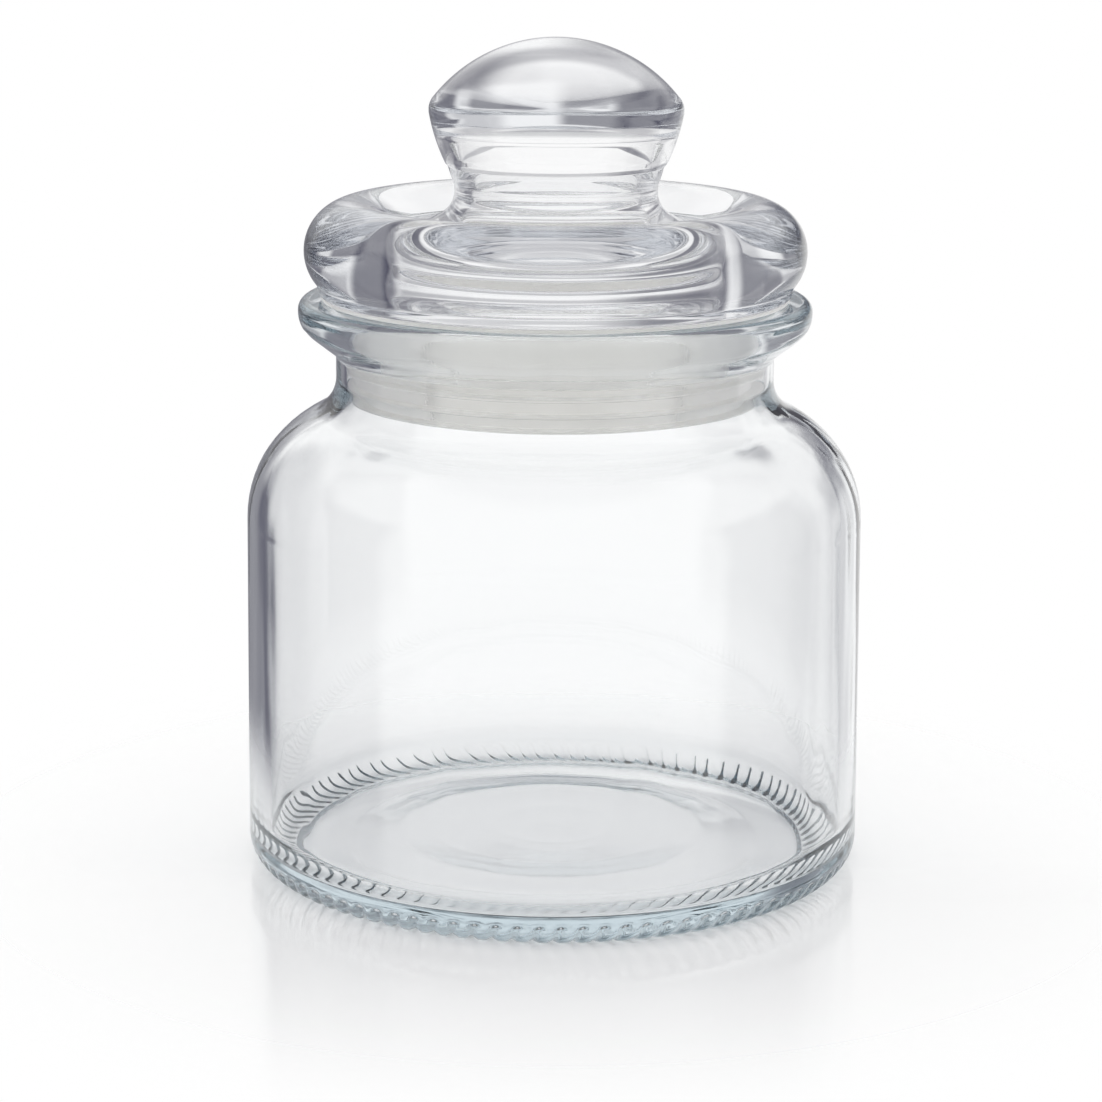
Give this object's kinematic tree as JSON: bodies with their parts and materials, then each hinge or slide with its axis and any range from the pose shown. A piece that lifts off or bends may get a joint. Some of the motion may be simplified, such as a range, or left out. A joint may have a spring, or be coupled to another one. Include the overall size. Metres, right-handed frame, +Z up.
{
  "type": "jam pot",
  "caption": "Round clear glass storage pot with a wide flanged mouth, a round shoulder and a knurled foot, closed by a hollow-knobbed glass stopper lid on a ribbed plastic seal.",
  "frame": {"origin": "centre of the ring that the jar stands on, in the plane of the surface under it", "axes": "+Z up along the common axis of jar, seal and lid; +X to the right and +Y away in the pictured view"},
  "size_m": [0.1011, 0.1012, 0.1351],
  "materials": {
    "jar_glass": "clear, faintly grey-green where it is thick",
    "lid_glass": "clear, faintly blue-grey where it is thick",
    "seal_plastic": "milky, satin, slightly translucent"
  },
  "bodies": {
    "jar": {"glass_jar": "jar_glass"},
    "seal": {"seal_ring": "seal_plastic"},
    "lid": {"glass_lid": "lid_glass"}
  },
  "joints": [
    {"name": "lid_lift", "type": "slide", "parent": "jar", "child": "seal", "axis": [0, 0, 1], "range_m": [0, 0.045]},
    {"name": "lid_off_seal", "type": "slide", "parent": "seal", "child": "lid", "axis": [0, 0, 1], "range_m": [0, 0.03]}
  ]
}
